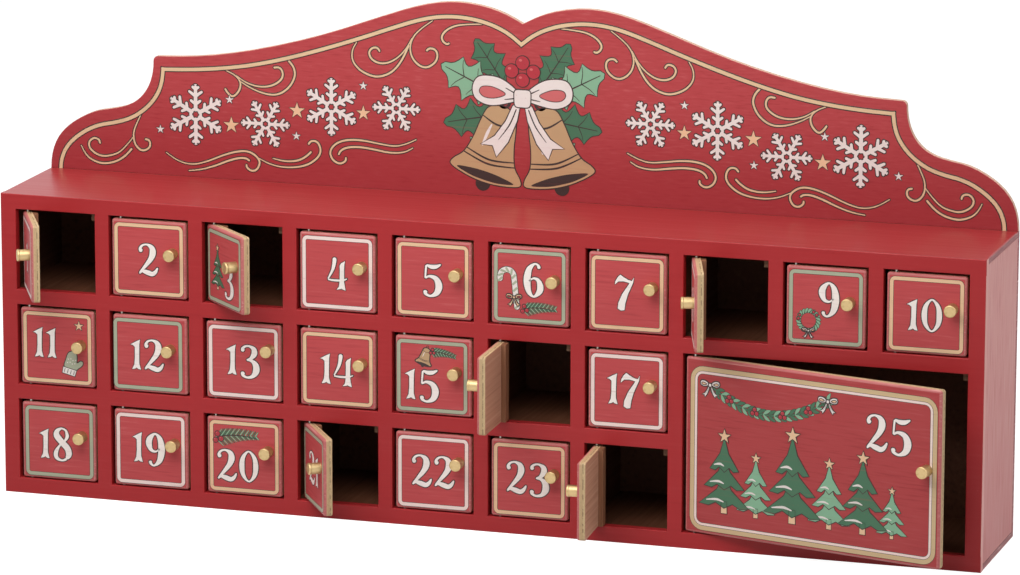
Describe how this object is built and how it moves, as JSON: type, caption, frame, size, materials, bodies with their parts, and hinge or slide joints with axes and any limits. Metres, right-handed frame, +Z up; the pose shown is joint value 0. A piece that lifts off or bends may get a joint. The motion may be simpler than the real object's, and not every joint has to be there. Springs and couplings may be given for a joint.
{
  "type": "wooden advent calendar",
  "caption": "Free-standing wooden advent calendar: a shallow red case of small treat boxes behind numbered pin-hung doors with brass knobs, one large door, and a scrolled crest.",
  "frame": {"origin": "on the surface it stands on, under the middle of the case's footprint", "axes": "+X along the case's length, to the right seen from the front; the doors face -Y; +Z up"},
  "size_m": [0.58, 0.1236, 0.2891],
  "materials": {
    "frame_paint": "smooth red paint",
    "case_paint": "satin red paint",
    "crest_paint": "brushed red stain with painted stripes and scrolls",
    "door_paint": "red stain with a painted stripe and number",
    "inner_wood": "dark stained wood",
    "bare_wood": "bare wood",
    "knob_brass": "satin",
    "pin_metal": "bright"
  },
  "bodies": {
    "cabinet": {"face_frame": "frame_paint", "top_board": "case_paint", "bottom_board": "case_paint", "left_side": "case_paint", "right_side": "case_paint", "back_board": "crest_paint", "shelves": "inner_wood", "dividers": "inner_wood", "door_stops": "bare_wood", "hinge_pins": "pin_metal"},
    "door_01": {"door_01_panel": "door_paint", "door_01_knob": "knob_brass"},
    "door_02": {"door_02_panel": "door_paint", "door_02_knob": "knob_brass"},
    "door_03": {"door_03_panel": "door_paint", "door_03_knob": "knob_brass"},
    "door_04": {"door_04_panel": "door_paint", "door_04_knob": "knob_brass"},
    "door_05": {"door_05_panel": "door_paint", "door_05_knob": "knob_brass"},
    "door_06": {"door_06_panel": "door_paint", "door_06_knob": "knob_brass"},
    "door_07": {"door_07_panel": "door_paint", "door_07_knob": "knob_brass"},
    "door_08": {"door_08_panel": "door_paint", "door_08_knob": "knob_brass"},
    "door_09": {"door_09_panel": "door_paint", "door_09_knob": "knob_brass"},
    "door_10": {"door_10_panel": "door_paint", "door_10_knob": "knob_brass"},
    "door_11": {"door_11_panel": "door_paint", "door_11_knob": "knob_brass"},
    "door_12": {"door_12_panel": "door_paint", "door_12_knob": "knob_brass"},
    "door_13": {"door_13_panel": "door_paint", "door_13_knob": "knob_brass"},
    "door_14": {"door_14_panel": "door_paint", "door_14_knob": "knob_brass"},
    "door_15": {"door_15_panel": "door_paint", "door_15_knob": "knob_brass"},
    "door_16": {"door_16_panel": "door_paint", "door_16_knob": "knob_brass"},
    "door_17": {"door_17_panel": "door_paint", "door_17_knob": "knob_brass"},
    "door_18": {"door_18_panel": "door_paint", "door_18_knob": "knob_brass"},
    "door_19": {"door_19_panel": "door_paint", "door_19_knob": "knob_brass"},
    "door_20": {"door_20_panel": "door_paint", "door_20_knob": "knob_brass"},
    "door_21": {"door_21_panel": "door_paint", "door_21_knob": "knob_brass"},
    "door_22": {"door_22_panel": "door_paint", "door_22_knob": "knob_brass"},
    "door_23": {"door_23_panel": "door_paint", "door_23_knob": "knob_brass"},
    "door_24": {"door_24_panel": "door_paint", "door_24_knob": "knob_brass"},
    "door_25": {"door_25_panel": "door_paint", "door_25_knob": "knob_brass"}
  },
  "joints": [
    {"name": "door_01_hinge", "type": "hinge", "parent": "cabinet", "child": "door_01", "pos_m": [-0.27403, -0.03835, 0.1447], "axis": [0, 0, -1], "range_deg": [-62.5, 47.5]},
    {"name": "door_02_hinge", "type": "hinge", "parent": "cabinet", "child": "door_02", "pos_m": [-0.21703, -0.03835, 0.1447], "axis": [0, 0, -1], "range_deg": [0, 110]},
    {"name": "door_03_hinge", "type": "hinge", "parent": "cabinet", "child": "door_03", "pos_m": [-0.16003, -0.03835, 0.1447], "axis": [0, 0, -1], "range_deg": [-44, 66]},
    {"name": "door_04_hinge", "type": "hinge", "parent": "cabinet", "child": "door_04", "pos_m": [-0.10303, -0.03835, 0.1447], "axis": [0, 0, -1], "range_deg": [0, 110]},
    {"name": "door_05_hinge", "type": "hinge", "parent": "cabinet", "child": "door_05", "pos_m": [-0.04603, -0.03835, 0.1447], "axis": [0, 0, -1], "range_deg": [0, 110]},
    {"name": "door_06_hinge", "type": "hinge", "parent": "cabinet", "child": "door_06", "pos_m": [0.01097, -0.03835, 0.1447], "axis": [0, 0, -1], "range_deg": [0, 110]},
    {"name": "door_07_hinge", "type": "hinge", "parent": "cabinet", "child": "door_07", "pos_m": [0.06797, -0.03835, 0.1447], "axis": [0, 0, -1], "range_deg": [0, 110]},
    {"name": "door_08_hinge", "type": "hinge", "parent": "cabinet", "child": "door_08", "pos_m": [0.12497, -0.03835, 0.1447], "axis": [0, 0, -1], "range_deg": [-72, 38]},
    {"name": "door_09_hinge", "type": "hinge", "parent": "cabinet", "child": "door_09", "pos_m": [0.18197, -0.03835, 0.1447], "axis": [0, 0, -1], "range_deg": [0, 110]},
    {"name": "door_10_hinge", "type": "hinge", "parent": "cabinet", "child": "door_10", "pos_m": [0.23897, -0.03835, 0.1447], "axis": [0, 0, -1], "range_deg": [0, 110]},
    {"name": "door_11_hinge", "type": "hinge", "parent": "cabinet", "child": "door_11", "pos_m": [-0.27403, -0.03835, 0.0887], "axis": [0, 0, -1], "range_deg": [0, 110]},
    {"name": "door_12_hinge", "type": "hinge", "parent": "cabinet", "child": "door_12", "pos_m": [-0.21703, -0.03835, 0.0887], "axis": [0, 0, -1], "range_deg": [0, 110]},
    {"name": "door_13_hinge", "type": "hinge", "parent": "cabinet", "child": "door_13", "pos_m": [-0.16003, -0.03835, 0.0887], "axis": [0, 0, -1], "range_deg": [0, 110]},
    {"name": "door_14_hinge", "type": "hinge", "parent": "cabinet", "child": "door_14", "pos_m": [-0.10303, -0.03835, 0.0887], "axis": [0, 0, -1], "range_deg": [0, 110]},
    {"name": "door_15_hinge", "type": "hinge", "parent": "cabinet", "child": "door_15", "pos_m": [-0.04603, -0.03835, 0.0887], "axis": [0, 0, -1], "range_deg": [0, 110]},
    {"name": "door_16_hinge", "type": "hinge", "parent": "cabinet", "child": "door_16", "pos_m": [0.01097, -0.03835, 0.0887], "axis": [0, 0, -1], "range_deg": [-88, 22]},
    {"name": "door_17_hinge", "type": "hinge", "parent": "cabinet", "child": "door_17", "pos_m": [0.06797, -0.03835, 0.0887], "axis": [0, 0, -1], "range_deg": [0, 110]},
    {"name": "door_18_hinge", "type": "hinge", "parent": "cabinet", "child": "door_18", "pos_m": [-0.27403, -0.03835, 0.0327], "axis": [0, 0, -1], "range_deg": [0, 110]},
    {"name": "door_19_hinge", "type": "hinge", "parent": "cabinet", "child": "door_19", "pos_m": [-0.21703, -0.03835, 0.0327], "axis": [0, 0, -1], "range_deg": [0, 110]},
    {"name": "door_20_hinge", "type": "hinge", "parent": "cabinet", "child": "door_20", "pos_m": [-0.16003, -0.03835, 0.0327], "axis": [0, 0, -1], "range_deg": [0, 110]},
    {"name": "door_21_hinge", "type": "hinge", "parent": "cabinet", "child": "door_21", "pos_m": [-0.10303, -0.03835, 0.0327], "axis": [0, 0, -1], "range_deg": [-56, 54]},
    {"name": "door_22_hinge", "type": "hinge", "parent": "cabinet", "child": "door_22", "pos_m": [-0.04603, -0.03835, 0.0327], "axis": [0, 0, -1], "range_deg": [0, 110]},
    {"name": "door_23_hinge", "type": "hinge", "parent": "cabinet", "child": "door_23", "pos_m": [0.01097, -0.03835, 0.0327], "axis": [0, 0, -1], "range_deg": [0, 110]},
    {"name": "door_24_hinge", "type": "hinge", "parent": "cabinet", "child": "door_24", "pos_m": [0.06797, -0.03835, 0.0327], "axis": [0, 0, -1], "range_deg": [-86, 24]},
    {"name": "door_25_hinge", "type": "hinge", "parent": "cabinet", "child": "door_25", "pos_m": [0.12497, -0.03835, 0.0607], "axis": [0, 0, -1], "range_deg": [-13.5, 96.5]}
  ]
}
